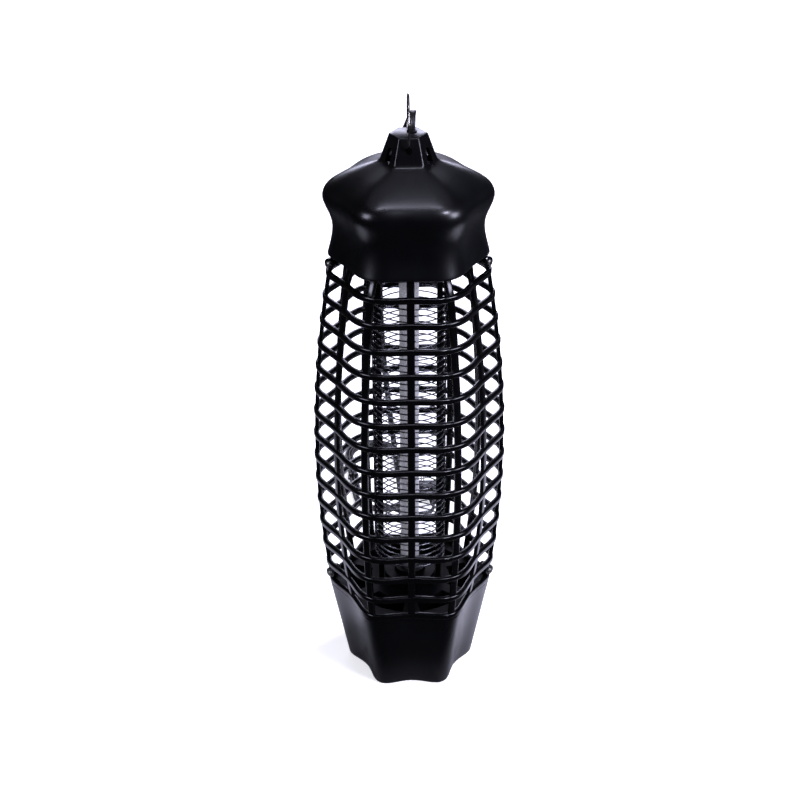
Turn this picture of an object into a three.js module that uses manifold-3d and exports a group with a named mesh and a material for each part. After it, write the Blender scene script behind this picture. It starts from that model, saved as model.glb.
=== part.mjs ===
// Lantern-shaped electric bug zapper, in millimetres, +Z up, standing on Z = 0 with its axis on X = Y = 0.
// The plan is a rounded hexagon with flat faces to the front (-Y) and rear and corners at +X and -X.
import * as THREE from 'three';
import { mergeVertices } from 'three/addons/utils/BufferGeometryUtils.js';
import Module from 'manifold-3d';

const wasm = await Module();
wasm.setup();

// Driving dimensions
const GAP = 0.3; // between touching pieces
const FACES = 6;
const TRAY_TOP = 77.2;
const TRAY_WALL = 2.2;
const CAGE_FOOT = 77.5; // underside of the cage
const CAGE_BELLY_Z = 203.7; // height of the widest ring
const CAGE_BELLY_R = 78; // corner radius of the plan there
const CAGE_WALL = 4.4; // radial depth of the bars
const BAR_HEIGHT = 4.8;
const LUG_RADIUS = 4.6; // screwed ears
const LUG_HEIGHTS = [['lower', 86.2], ['upper', 373.8]];
const SCREW_TURN = 40; // degrees that the ears' screws turn from the front
const RIB_WIDTH = 5.9;
const RING_COUNT = 15;
const CAGE_TOP = 386;
const CAGE_TOP_R = 57.6; // the top rim tucks inside the cap
const CAP_RIM_Z = 381.5;
const CAP_WALL = 2.3;
const BOSS_BASE_Z = 456;
const BOSS_TOP_Z = 476.7;
const LAMP_RADIUS = 8;
const LAMP_BOTTOM = 86;
const LAMP_LENGTH = 288;
const LAMP_CAP_LENGTH = 9;
const GRID_RADIUS = 29; // centre line of the killing wires
const GRID_WIRE = 1;
const GRID_BOTTOM = 106;
const GRID_TOP = 352;
const GRID_LEAD = 10.8; // rise of each wire in one turn; the second wire runs half way between
const HOOP_RADIUS = 21.8; // hanging ring, centre line
const HOOP_WIRE = 1.6;
const HOOP_CENTRE_Z = 484;
const PIVOT_Z = 467.6; // holes in the boss that the ring turns in
const PIVOT_RADIUS = 2.5;
const CORD_WIDTH = 5.2;
const CORD_OUT = { x: 2.8, y: 4 }; // where the lead leaves the boss
const LEAD_RADIUS = 0.9; // leads to the lower lampholder
const LEAD_X = 24;
const LEAD_Y = 3.8;
const BOARD = {
  left: -27, right: -3, front: -34, rear: 22, z: 393.3, thick: 1.6,
  posts: [[-24, -31], [-6, -31], [-24, 19], [-6, 19]],
};
const HANK = { x: -27, y: 288, half: 40, radius: 30, turn: 0.12, height: 5.8 };
const PLUG = { x: 29, y: 226, z: 6.9, length: 34, width: 34, thick: 13.6, pinX: 9.5 };

// Materials
const material = (color, roughness, metalness = 0) =>
  new THREE.MeshStandardMaterial({ color, roughness, metalness });
const satinBlack = () => material(0x15151a, 0.42);
const glossBlack = () => material(0x08080a, 0.18);
const chassisBlack = () => material(0x0c0c0e, 0.5);
const steel = () => material(0xc4c4c8, 0.25, 1);
const nickel = () => material(0xb8b6b0, 0.18, 1);
const aluminium = () => material(0xa9abad, 0.4, 1);
const softPvc = () => material(0x0d0d0e, 0.55);

// Geometry helpers
const DEG = Math.PI / 180;

// A closed mesh from loops of equally many points; a capped skin closes its first and last loop with a fan.
function skin(loops, capped = true) {
  const count = loops[0].length;
  const points = loops.flat();
  const index = [];
  const bands = capped ? loops.length - 1 : loops.length;
  for (let band = 0; band < bands; band += 1) {
    const low = band * count;
    const high = ((band + 1) % loops.length) * count;
    for (let i = 0; i < count; i += 1) {
      const next = (i + 1) % count;
      index.push(low + i, low + next, high + next, low + i, high + next, high + i);
    }
  }
  if (capped) {
    const last = (loops.length - 1) * count;
    const centre = (loop) => loop.reduce((sum, p) => sum.add(p), new THREE.Vector3()).divideScalar(count);
    points.push(centre(loops[0]), centre(loops[loops.length - 1]));
    for (let i = 0; i < count; i += 1) {
      const next = (i + 1) % count;
      index.push(points.length - 2, next, i, points.length - 1, last + i, last + next);
    }
  }
  return outwards(points, index);
}

function outwards(points, index) {
  const geometry = new THREE.BufferGeometry().setFromPoints(points);
  geometry.setIndex(signedVolume(points, index) < 0 ? index.reverse() : index);
  return geometry;
}

function signedVolume(points, index) {
  let total = 0;
  for (let i = 0; i < index.length; i += 3) {
    const [a, b, c] = [points[index[i]], points[index[i + 1]], points[index[i + 2]]];
    total += a.dot(new THREE.Vector3().crossVectors(b, c));
  }
  return total;
}

function toSolid(geometry) {
  const bare = geometry.clone();
  bare.deleteAttribute('normal');
  bare.deleteAttribute('uv');
  const merged = mergeVertices(bare, 1e-4);
  return new wasm.Manifold(new wasm.Mesh({
    numProp: 3,
    vertProperties: new Float32Array(merged.attributes.position.array),
    triVerts: new Uint32Array(merged.index.array),
  }));
}

function toGeometry(solid) {
  const mesh = solid.getMesh();
  const geometry = new THREE.BufferGeometry();
  geometry.setAttribute('position', new THREE.BufferAttribute(mesh.vertProperties, 3));
  geometry.setIndex(new THREE.BufferAttribute(mesh.triVerts, 1));
  return geometry;
}

const cut = (body, ...tools) =>
  toGeometry(tools.reduce((solid, tool) => solid.subtract(toSolid(tool)), toSolid(body)));
const join = (body, ...others) =>
  toGeometry(others.reduce((solid, other) => solid.add(toSolid(other)), toSolid(body)));
const common = (body, other) => toGeometry(toSolid(body).intersect(toSolid(other)));

const boxBetween = (low, high) => new THREE.BoxGeometry(high[0] - low[0], high[1] - low[1], high[2] - low[2])
  .translate((low[0] + high[0]) / 2, (low[1] + high[1]) / 2, (low[2] + high[2]) / 2);

const rod = (radius, bottom, top, sides = 12) => new THREE.CylinderGeometry(radius, radius, top - bottom, sides)
  .rotateX(90 * DEG).translate(0, 0, (bottom + top) / 2);

// A turned piece about Z from [radius, height] points that start and end on the axis or close on themselves.
function turned(profile, sides = 16) {
  const area = profile.reduce((sum, [r, z], i) => {
    const [nextR, nextZ] = profile[(i + 1) % profile.length];
    return sum + r * nextZ - nextR * z;
  }, 0);
  const ordered = area < 0 ? [...profile].reverse() : profile;
  return new THREE.LatheGeometry(ordered.map(([r, z]) => new THREE.Vector2(r, z)), sides).rotateX(90 * DEG);
}

// The rounded hexagon: r to the rounded corner, a corner radius, and how far each side is hollowed at its
// middle. Each face has six stations: the ends of its flat and its middle rib's edges, then the corner rib's.
const STATIONS = 6;

function hexagon({ r, corner, hollow }, rib = 0) {
  const inner = r - corner;
  const apothem = inner * Math.cos(30 * DEG) + corner;
  const half = inner * Math.sin(30 * DEG);
  const ribEdge = rib ? rib / 2 : half / 3;
  const ribAngle = rib ? rib / 2 / corner : 10 * DEG;
  const points = [];
  for (let face = 0; face < FACES; face += 1) {
    const facing = (-90 + 60 * face) * DEG;
    const normal = new THREE.Vector2(Math.cos(facing), Math.sin(facing));
    const along = new THREE.Vector2(-normal.y, normal.x);
    for (const t of [-half, -ribEdge, ribEdge, half]) {
      const dip = hollow * (1 - (t / half) ** 2) ** 2;
      points.push(normal.clone().multiplyScalar(apothem - dip).addScaledVector(along, t));
    }
    const vertex = facing + 30 * DEG;
    const middle = new THREE.Vector2(Math.cos(vertex), Math.sin(vertex)).multiplyScalar(inner);
    for (const turn of [-ribAngle, ribAngle]) {
      const out = new THREE.Vector2(Math.cos(vertex + turn), Math.sin(vertex + turn));
      points.push(middle.clone().addScaledVector(out, corner));
    }
  }
  return points;
}

const inset = (plan, by) => ({ r: plan.r - by, corner: plan.corner - by, hollow: plan.hollow });
const loopAt = (plan, z, rib) => hexagon(plan, rib).map((p) => new THREE.Vector3(p.x, p.y, z));
const loft = (sections, capped = true) => skin(sections.map(([z, plan]) => loopAt(plan, z)), capped);
const mix = (a, b, t) => a + (b - a) * t;

// Collecting tray: the satin base cup
const trayPlan = (z) => {
  const t = z / TRAY_TOP;
  return { r: mix(53.4, 68.3, t), corner: mix(11, 14.5, t), hollow: mix(3.8, 2.5, t) };
};

function collectingTray() {
  const sections = [[0, inset(trayPlan(0), 1.5)], [1.4, trayPlan(1.4)], [TRAY_TOP, trayPlan(TRAY_TOP)]];
  sections.push([TRAY_TOP, inset(trayPlan(TRAY_TOP), TRAY_WALL)]);
  sections.push([TRAY_WALL + 1, inset(trayPlan(TRAY_WALL + 1), TRAY_WALL)]);
  return loft(sections);
}

// Cage: a barrel of rings and upright ribs, made in two halves that part at the left and right corners
const ringHeight = (k) => CAGE_FOOT + 21.4 * k - 0.0551 * k * k;

function cagePlan(z) {
  const bow = z < CAGE_BELLY_Z ? 6.1e-4 : 5.3e-4;
  const r = z > CAP_RIM_Z ? CAGE_TOP_R : CAGE_BELLY_R - bow * (z - CAGE_BELLY_Z) ** 2;
  const slim = Math.min(1, (CAGE_BELLY_R - r) / 10);
  const corner = z < CAGE_BELLY_Z ? mix(26, 15.5, slim) : mix(26, 22, slim);
  return { r, corner, hollow: mix(2.3, 0.2, Math.min(1, (z - CAGE_FOOT) / 90)) };
}

function cageHalf(side) {
  const rows = [CAGE_FOOT, CAGE_FOOT + BAR_HEIGHT];
  for (let k = 1; k < RING_COUNT; k += 1) {
    rows.push(ringHeight(k) - BAR_HEIGHT / 2, ringHeight(k) + BAR_HEIGHT / 2);
  }
  rows.push(CAP_RIM_Z + 1.5, CAGE_TOP);
  const outer = rows.map((z) => halfLoop(cagePlan(z), z, side));
  const inner = rows.map((z) => halfLoop(inset(cagePlan(z), CAGE_WALL), z, side));
  const columns = outer[0].length - 1;
  const solid = (row, column) => {
    if (row < 0 || row >= rows.length - 1 || column < 0 || column >= columns) return false;
    return row % 2 === 0 || column % 3 === 0;
  };
  const points = [...outer.flat(), ...inner.flat()];
  const at = (layer, row, column) => (layer * rows.length + row) * (columns + 1) + column;
  const index = [];
  const quad = (a, b, c, d) => index.push(a, b, c, a, c, d);
  for (let row = 0; row < rows.length - 1; row += 1) {
    for (let column = 0; column < columns; column += 1) {
      if (!solid(row, column)) continue;
      const [o, i] = [0, 1].map((layer) => [
        at(layer, row, column), at(layer, row, column + 1),
        at(layer, row + 1, column + 1), at(layer, row + 1, column),
      ]);
      quad(...o);
      quad(i[3], i[2], i[1], i[0]);
      if (!solid(row - 1, column)) quad(o[1], o[0], i[0], i[1]);
      if (!solid(row, column + 1)) quad(o[2], o[1], i[1], i[2]);
      if (!solid(row + 1, column)) quad(o[3], o[2], i[2], i[3]);
      if (!solid(row, column - 1)) quad(o[0], o[3], i[3], i[0]);
    }
  }
  const lattice = outwards(points, index);
  const halfSpace = boxBetween([-100, side < 0 ? -100 : GAP / 2, 0], [100, side < 0 ? -GAP / 2 : 100, 500]);
  const lugs = lugPlaces().map((place) => common(alongScrew(rod(LUG_RADIUS, -5.2, 5.2), place), halfSpace));
  const holes = lugPlaces().map((place) => alongScrew(rod(1.9, -9, 9, 8), place));
  return cut(join(lattice, ...lugs), ...holes);
}

// Half of the plan between the two corner ribs that the parting plane splits.
// The columns between its points run rib, gap, gap, rib, and so on.
function halfLoop(plan, z, side) {
  const loop = loopAt(plan, z, RIB_WIDTH);
  const start = (side < 0 ? 5 : 2) * STATIONS - 1;
  const end = (x) => new THREE.Vector3(x * plan.r, (side * GAP) / 2, z);
  const between = Array.from({ length: loop.length / 2 }, (_, i) => loop[(start + i) % loop.length]);
  return [end(side), ...between, end(-side)];
}

// Screwed ears at the four ends of the parting lines, head side turned half way to the front
function lugPlaces() {
  const places = [];
  for (const [name, z] of LUG_HEIGHTS) {
    for (const side of [-1, 1]) {
      const x = side * (cagePlan(z).r - LUG_RADIUS);
      places.push({ name: `${name}_${side < 0 ? 'left' : 'right'}`, side, x, z });
    }
  }
  return places;
}

// Carries a piece made along +Z onto a screw's axis, with +Z towards the head
const alongScrew = (geometry, { side, x, z }) =>
  geometry.clone().rotateX(90 * DEG).rotateZ(side * SCREW_TURN * DEG).translate(x, 0, z);

// A pan-head screw about Z, its head seated at top
function screw(head, thread, length, top) {
  const crown = top + head * 0.6;
  return turned([
    [0, top - length], [thread, top - length], [thread, top], [head, top], [head * 0.8, crown], [0, crown],
  ], 10);
}

// Cap: satin hood with the crown, the roof and the hanging boss
const ARCH_RADIUS = 2.2; // openings in the boss's angled faces
const ROOF_POST_TOP = 443.2;
const PILOT_RADIUS = 1.5;
const capPlan = (r, corner = 24, hollow = 0.9) => ({ r, corner, hollow });

function capShell() {
  const outside = [
    [CAP_RIM_Z, capPlan(62)], [391, capPlan(59.9)], [404.3, capPlan(57.9)], [413, capPlan(59.2)],
    [420, capPlan(62)], [426, capPlan(64.5)], [431.3, capPlan(64.6)], [436, capPlan(62.3)],
    [440.2, capPlan(57.6, 21)], [448.5, capPlan(42, 14)], [BOSS_BASE_Z - 1, capPlan(24.5, 6, 0.3)],
    [BOSS_BASE_Z + 2, capPlan(20.6, 1.6, 0)], [BOSS_TOP_Z, capPlan(14.2, 1.2, 0)],
  ];
  const inside = [
    [BOSS_TOP_Z - 2, capPlan(12.1, 1, 0)], [BOSS_BASE_Z, capPlan(18.4, 1.2, 0)], [449.5, capPlan(34, 11)],
    [441, capPlan(51, 18)], [436, capPlan(59.4, 21)], [431, capPlan(62, 22)], [426, capPlan(61.9, 22)],
    [419, capPlan(59.2, 22)], [404.3, capPlan(55.6, 22)], [392, capPlan(57.3, 22)],
    [CAGE_TOP + 1, capPlan(58.4, 22)], [CAP_RIM_Z, capPlan(62 - CAP_WALL, 22)],
  ];
  const shell = loft([...inside, ...outside]);
  const slot = boxBetween([-1.2, -3.2, BOSS_TOP_Z - 4], [6.4, 7.6, BOSS_TOP_Z + 1]);
  const pivotHoles = rod(PIVOT_RADIUS, -30, 30, 12).rotateX(90 * DEG).translate(0, 0, PIVOT_Z);
  const [archFoot, archSpring] = [BOSS_BASE_Z + 0.6, BOSS_BASE_Z + 7.6];
  const arches = [30, 150, 210, 330].map((facing) => {
    const legs = boxBetween([8, -ARCH_RADIUS, archFoot], [26, ARCH_RADIUS, archSpring]);
    const head = rod(ARCH_RADIUS, 8, 26, 12).rotateY(90 * DEG).translate(0, 0, archSpring);
    return join(legs, head).rotateZ(facing * DEG);
  });
  const postFoot = TOP_PLATE_Z + TOP_PLATE_THICK + GAP;
  const roofPosts = chassisScrews().map(({ x, y }) => rod(3.4, postFoot, ROOF_POST_TOP, 10).translate(x, y, 0));
  const body = join(shell, ...roofPosts);
  const pilots = chassisScrews().map(({ x, y }) => rod(PILOT_RADIUS, 380, 404, 8).translate(x, y, 0));
  return cut(body, slot, pivotHoles, ...arches, ...pilots);
}

// Four screws hold the top chassis up to posts under the roof
const SCREW_CIRCLE = 44;
const chassisScrews = () => [45, 135, 225, 315].map((facing) => {
  const angle = facing * DEG;
  return { x: SCREW_CIRCLE * Math.cos(angle), y: SCREW_CIRCLE * Math.sin(angle) };
});

// Top chassis: the plate under the cap that carries the electrics above it, and the lamp and grid below
const TOP_PLATE_Z = CAGE_TOP + GAP;
const TOP_PLATE_THICK = 3;
const SCREW_HOLE = 1.8;
const LEAD_HOLE = 2.2;

const plateShape = (plan) => new THREE.Shape(hexagon(plan));

const slab = (shape, depth, z) =>
  new THREE.ExtrudeGeometry(shape, { depth, bevelEnabled: false, curveSegments: 6 }).translate(0, 0, z);

const roundHole = (x, y, radius) => new THREE.Path().absarc(x, y, radius, 0, 2 * Math.PI, true);

function topChassis() {
  const shape = plateShape({ r: 56.6, corner: 16, hollow: 1.6 });
  const screwHoles = chassisScrews().map(({ x, y }) => roundHole(x, y, SCREW_HOLE));
  const leadHoles = [-1, 1].map((side) => roundHole(side * LEAD_X, LEAD_Y, LEAD_HOLE));
  shape.holes.push(roundHole(0, 0, 4.4), ...screwHoles, ...leadHoles);
  const plate = slab(shape, TOP_PLATE_THICK, TOP_PLATE_Z);
  const standoffs = BOARD.posts.map(([x, y]) => rod(2, TOP_PLATE_Z + 1, BOARD.z - GAP, 8).translate(x, y, 0));
  return join(plate, ...standoffs);
}

// Bottom chassis: a rim that the tray pushes onto, six arms over the drop openings, and a drum for the lamp
const BOTTOM_PLATE_Z = 75.8;
const BOTTOM_PLATE_TOP = 78.8;
const DRUM_RADIUS = 21.5;
const DRUM_TOP = 88;
const DROP = { inner: 34, outer: 51, spread: 22 }; // openings between the arms
const HOLDER_RADIUS = 13;
const SKIRT_FOOT = 66;

function bottomChassis() {
  const rim = inset(cagePlan(CAGE_FOOT), CAGE_WALL + 0.6);
  const shape = plateShape(rim);
  for (let k = 0; k < FACES; k += 1) {
    const [from, to] = [(60 * k - DROP.spread) * DEG, (60 * k + DROP.spread) * DEG];
    const drop = new THREE.Path().absarc(0, 0, DROP.outer, from, to, false);
    drop.absarc(0, 0, DROP.inner, to, from, true);
    shape.holes.push(drop);
  }
  shape.holes.push(roundHole(0, 0, HOLDER_RADIUS + 1.5));
  const plate = slab(shape, BOTTOM_PLATE_TOP - BOTTOM_PLATE_Z, BOTTOM_PLATE_Z);
  const skirt = loft([[SKIRT_FOOT, inset(rim, 2)], [BOTTOM_PLATE_Z + 1, rim],
    [BOTTOM_PLATE_Z + 1, inset(rim, 2)], [SKIRT_FOOT, inset(rim, 4)]], false);
  const drum = turned([[HOLDER_RADIUS + GAP, BOTTOM_PLATE_Z], [DRUM_RADIUS, BOTTOM_PLATE_Z],
    [DRUM_RADIUS, DRUM_TOP], [HOLDER_RADIUS + GAP, DRUM_TOP], [HOLDER_RADIUS + GAP, BOTTOM_PLATE_Z]], 24);
  return join(plate, skirt, drum);
}

// Lamp: a straight tube with an aluminium cap and two pins at each end, in two round holders
const LAMP_TOP = LAMP_BOTTOM + LAMP_LENGTH;

const PIN = { apart: 2.4, radius: 1.15, length: 5.4 };
const HOLDER_BORE = 4.2; // lets the pins turn

const lampTube = () => rod(LAMP_RADIUS - 0.2, LAMP_BOTTOM + LAMP_CAP_LENGTH + GAP,
  LAMP_TOP - LAMP_CAP_LENGTH - GAP, 20);

function lampCap(end, inward) {
  const cap = turned([[0, 0], [LAMP_RADIUS, 0], [LAMP_RADIUS, LAMP_CAP_LENGTH], [0, LAMP_CAP_LENGTH]], 20);
  const pins = [-PIN.apart, PIN.apart].map((x) => rod(PIN.radius, -PIN.length, 1, 8).translate(x, 0, 0));
  const piece = join(cap, ...pins);
  return (inward < 0 ? piece.rotateX(180 * DEG) : piece).translate(0, 0, end);
}

// The holder's recess takes the lamp's cap, and its bore lets the pins turn
function lampHolder(end, inward, reach) {
  const at = (h) => end + inward * h;
  const recess = LAMP_RADIUS + GAP;
  return turned([
    [HOLDER_BORE, at(-reach)], [HOLDER_RADIUS, at(-reach)], [HOLDER_RADIUS, at(6)], [recess, at(6)],
    [recess, at(-GAP)], [HOLDER_BORE, at(-GAP)], [HOLDER_BORE, at(-reach)],
  ], 24);
}

// Killing grid: two left-handed wires side by side, wound outside two upright posts
function gridWire(start) {
  const stepsPerTurn = 8;
  const steps = Math.round(((GRID_TOP - GRID_BOTTOM) / GRID_LEAD - 0.5) * stepsPerTurn);
  const loops = [];
  for (let step = 0; step <= steps; step += 1) {
    const angle = (180 * start - (360 * step) / stepsPerTurn) * DEG;
    const z = GRID_BOTTOM + (GRID_LEAD * step) / stepsPerTurn;
    loops.push([[-1, -1], [1, -1], [1, 1], [-1, 1]].map(([out, up]) => {
      const r = GRID_RADIUS + (out * GRID_WIRE) / 2;
      return new THREE.Vector3(r * Math.cos(angle), r * Math.sin(angle), z + (up * GRID_WIRE) / 2);
    }));
  }
  return skin(loops);
}

const POST = { inner: 21.9, outer: 27.6, width: 3.4 };

function gridPost(side) {
  const edges = [side * POST.inner, side * POST.outer].sort((a, b) => a - b);
  const half = POST.width / 2;
  return boxBetween([edges[0], -half, BOTTOM_PLATE_TOP + GAP], [edges[1], half, TOP_PLATE_Z - GAP]);
}

// Hanging ring: a sprung wire hoop whose ends turn in through the boss
const HOOP_GAP = 31; // degrees from straight down to each end

function hangingRing() {
  const points = Array.from({ length: 33 }, (_, i) => {
    const angle = mix(HOOP_GAP - 90, 270 - HOOP_GAP, i / 32) * DEG;
    return new THREE.Vector3(0, HOOP_RADIUS * Math.cos(angle), HOOP_CENTRE_Z + HOOP_RADIUS * Math.sin(angle));
  });
  return tube(points, HOOP_WIRE / 2, 40, 8);
}

function tube(points, radius, steps, sides) {
  const path = new THREE.CatmullRomCurve3(points, false, 'centripetal');
  const shape = new THREE.Shape();
  for (let i = 0; i < sides; i += 1) {
    const angle = (2 * Math.PI * (i + 0.5)) / sides;
    const place = [radius * Math.cos(angle), radius * Math.sin(angle)];
    if (i === 0) shape.moveTo(...place);
    else shape.lineTo(...place);
  }
  return new THREE.ExtrudeGeometry(shape, { steps, extrudePath: path, bevelEnabled: false });
}

// Mains lead: flat twin cord out of the boss, over the rear of the roof, down to the floor and into the hank
const cordRoute = [
  [CORD_OUT.x, CORD_OUT.y, 477.2], [CORD_OUT.x, 4.2, 479.8], [3, 6.4, 483.6], [3.3, 11.5, 486.4],
  [3.9, 17, 486.8], [3.9, 22.8, 484.6],
  [2.2, 28.3, 479], [-0.6, 32.6, 470.6], [-3.8, 37.8, 461.5], [-7.2, 44.6, 453.2], [-10.5, 52, 446.6],
  [-13, 59, 439.6], [-15.2, 64.2, 430], [-17.5, 68.5, 410], [-20, 77, 375], [-22, 88, 330],
  [-22.3, 96.5, 290], [-20, 103.5, 240],
  [-15.5, 109.5, 185], [-10.5, 114.5, 135], [-6, 120.5, 90], [-2.5, 129, 50], [0, 141, 20], [2.5, 157, 5.4],
  [5, 175, 2.9], [7.5, 195, 2.9], [8.8, 215, 2.9], [8.2, 235.4, 2.9],
];
const tailRoute = [
  [-12, 218.6, 6.6], [-9, 211.5, 7.2], [-1, 205.5, 8.2], [8.6, 203.5, 8.9], [19, 205.5, 7.6],
  [26.5, 211.5, 6.9], [29, 218.5, 6.9], [29, 225.6, 6.9],
];
const vectors = (route) => route.map(([x, y, z]) => new THREE.Vector3(x, y, z));

function cordHank() {
  const shape = new THREE.Shape();
  shape.absarc(0, HANK.half, HANK.radius, 0, Math.PI, false);
  shape.absarc(0, -HANK.half, HANK.radius, Math.PI, 2 * Math.PI, false);
  return new THREE.ExtrudeGeometry(shape, { depth: HANK.height, bevelEnabled: false, curveSegments: 10 })
    .rotateZ(HANK.turn).translate(HANK.x, HANK.y, 0.1);
}

// A wire tie round the hank's left run
function hankTie() {
  const [reach, wide] = [HANK.radius + 0.6, 3];
  const band = cut(boxBetween([-reach - 1, -wide, 0], [-16, wide, 8]),
    boxBetween([-reach, -wide - 1, -1], [-10, wide + 1, HANK.height + 0.5]));
  return band.rotateZ(HANK.turn).translate(HANK.x, HANK.y, 0.1);
}

// Plug: flat two-pin body on a round lead entry
function plugBody() {
  const loop = (y, width, thick) => {
    const corner = Math.min(width, thick) * 0.32;
    return [0, 1, 2, 3].flatMap((quarter) => [0, 45, 90].map((turn) => {
      const angle = (90 * quarter + turn) * DEG;
      const [sx, sz] = [[1, 1], [-1, 1], [-1, -1], [1, -1]][quarter];
      const x = sx * (width / 2 - corner) + corner * Math.cos(angle);
      const z = sz * (thick / 2 - corner) + corner * Math.sin(angle);
      return new THREE.Vector3(PLUG.x + x, PLUG.y + y, PLUG.z + z);
    }));
  };
  return skin([loop(0, 7.4, 5.4), loop(8, 9, 7), loop(14, 22, 11), loop(20, PLUG.width, PLUG.thick),
    loop(PLUG.length, PLUG.width - 1, PLUG.thick - 0.6)]);
}

const plugPin = (x) => rod(2, 0, 19, 10).rotateX(-90 * DEG)
  .translate(PLUG.x + x, PLUG.y + PLUG.length + GAP, PLUG.z);

// Electrics on the top chassis
function circuitBoard() {
  return boxBetween([BOARD.left, BOARD.front, BOARD.z], [BOARD.right, BOARD.rear, BOARD.z + BOARD.thick]);
}

const capacitor = (y) => turned([[0, 0], [5.6, 0], [5.6, 17], [4.6, 18], [0, 18]], 14)
  .translate(-15, y, BOARD.z + BOARD.thick + GAP);

// A laminated core with two windows, and the winding round its middle limb
const CHOKE = {
  left: 2, right: 30, front: -26, rear: -2, bottom: 389.7, height: 24, bar: 5, windows: [[6.5, 12], [20, 25.5]],
};

function chokeCore() {
  const top = CHOKE.bottom + CHOKE.height;
  const [low, high] = [CHOKE.bottom + CHOKE.bar, top - CHOKE.bar];
  const windows = CHOKE.windows.map(([from, to]) => boxBetween([from, -40, low], [to, 10, high]));
  return cut(boxBetween([CHOKE.left, CHOKE.front, CHOKE.bottom], [CHOKE.right, CHOKE.rear, top]), ...windows);
}

function chokeWinding() {
  const [low, high] = [CHOKE.bottom + CHOKE.bar + GAP, CHOKE.bottom + CHOKE.height - CHOKE.bar - GAP];
  const [[left, limbLeft], [limbRight, right]] = CHOKE.windows;
  const outer = boxBetween([left + GAP, CHOKE.front - 3.5, low], [right - GAP, CHOKE.rear + 3.5, high]);
  const hole = boxBetween([limbLeft - GAP, CHOKE.front - 1, low - 1],
    [limbRight + GAP, CHOKE.rear + 1, high + 1]);
  return cut(outer, hole);
}

const terminalBlock = () => boxBetween([4, 19, 389.7], [25, 30, 400]);

// The lead inside the cap, from the grommet to the terminal block
const innerRoute = [
  [CORD_OUT.x, CORD_OUT.y, 451.6], [CORD_OUT.x, CORD_OUT.y, 448], [5, 8, 435], [11, 17, 420],
  [16, 24.5, 408], [16, 24.5, 400.4],
];
const innerLead = () => tube(vectors(innerRoute), 2.2, 8, 8);

// A lead down the rear of each post to the lower holder
const lampLead = (side) => rod(LEAD_RADIUS, BOTTOM_PLATE_TOP + GAP, BOARD.z - 1, 6)
  .translate(side * LEAD_X, LEAD_Y, 0);

const grommet = () => turned([[0, 452], [4.6, 452], [3.4, 470], [3.2, 476.8], [0, 476.8]], 14)
  .translate(CORD_OUT.x, CORD_OUT.y, 0);

const group = new THREE.Group();

function add(name, geometry, look) {
  const mesh = new THREE.Mesh(geometry, look);
  mesh.name = name;
  group.add(mesh);
}

add('cap_shell', capShell(), satinBlack());
add('hanging_ring', hangingRing(), nickel());
add('cage_front', cageHalf(-1), glossBlack());
add('cage_rear', cageHalf(1), glossBlack());
for (const place of lugPlaces()) {
  add(`cage_screw_${place.name}`, alongScrew(screw(2.6, 1.5, 10, 5.5), place), steel());
}
add('collecting_tray', collectingTray(), satinBlack());
add('bottom_chassis', bottomChassis(), chassisBlack());
add('top_chassis', topChassis(), chassisBlack());
chassisScrews().forEach(({ x, y }, i) => {
  const piece = screw(3, 1.1, 16, 0).rotateX(180 * DEG).translate(x, y, CAGE_TOP);
  add(`chassis_screw_${i + 1}`, piece, steel());
});
add('lamp_tube', lampTube(), material(0xd9d6e4, 0.35));
add('lamp_cap_lower', lampCap(LAMP_BOTTOM, 1), aluminium());
add('lamp_cap_upper', lampCap(LAMP_TOP, -1), aluminium());
add('lampholder_lower', lampHolder(LAMP_BOTTOM, 1, LAMP_BOTTOM - BOTTOM_PLATE_Z), chassisBlack());
add('lampholder_upper', lampHolder(LAMP_TOP, -1, CAGE_TOP - LAMP_TOP), chassisBlack());
add('lamp_lead_left', lampLead(-1), material(0x17171a, 0.5));
add('lamp_lead_right', lampLead(1), material(0x17171a, 0.5));
add('grid_post_left', gridPost(-1), chassisBlack());
add('grid_post_right', gridPost(1), chassisBlack());
add('grid_wire_a', gridWire(0), steel());
add('grid_wire_b', gridWire(1), steel());
add('circuit_board', circuitBoard(), material(0x2c5a38, 0.5));
[-25, -8, 9].forEach((y, i) => add(`capacitor_${i + 1}`, capacitor(y), material(0x8a3a22, 0.4)));
add('choke_core', chokeCore(), material(0x55585c, 0.45, 1));
add('choke_winding', chokeWinding(), material(0x8e4b22, 0.35, 1));
add('terminal_block', terminalBlock(), material(0xe6e4da, 0.5));
add('inner_lead', innerLead(), softPvc());
add('cord_grommet', grommet(), softPvc());
add('power_cord', tube(vectors(cordRoute), CORD_WIDTH / 2, 72, 8), softPvc());
add('cord_tail', tube(vectors(tailRoute), CORD_WIDTH / 2, 12, 8), softPvc());
add('cord_hank', cordHank(), softPvc());
add('hank_tie', hankTie(), softPvc());
add('plug_body', plugBody(), softPvc());
add('plug_pin_left', plugPin(-PLUG.pinX), nickel());
add('plug_pin_right', plugPin(PLUG.pinX), nickel());

export default group;
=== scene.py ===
import math
import bpy
import bmesh
from mathutils import Vector, Matrix


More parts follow.
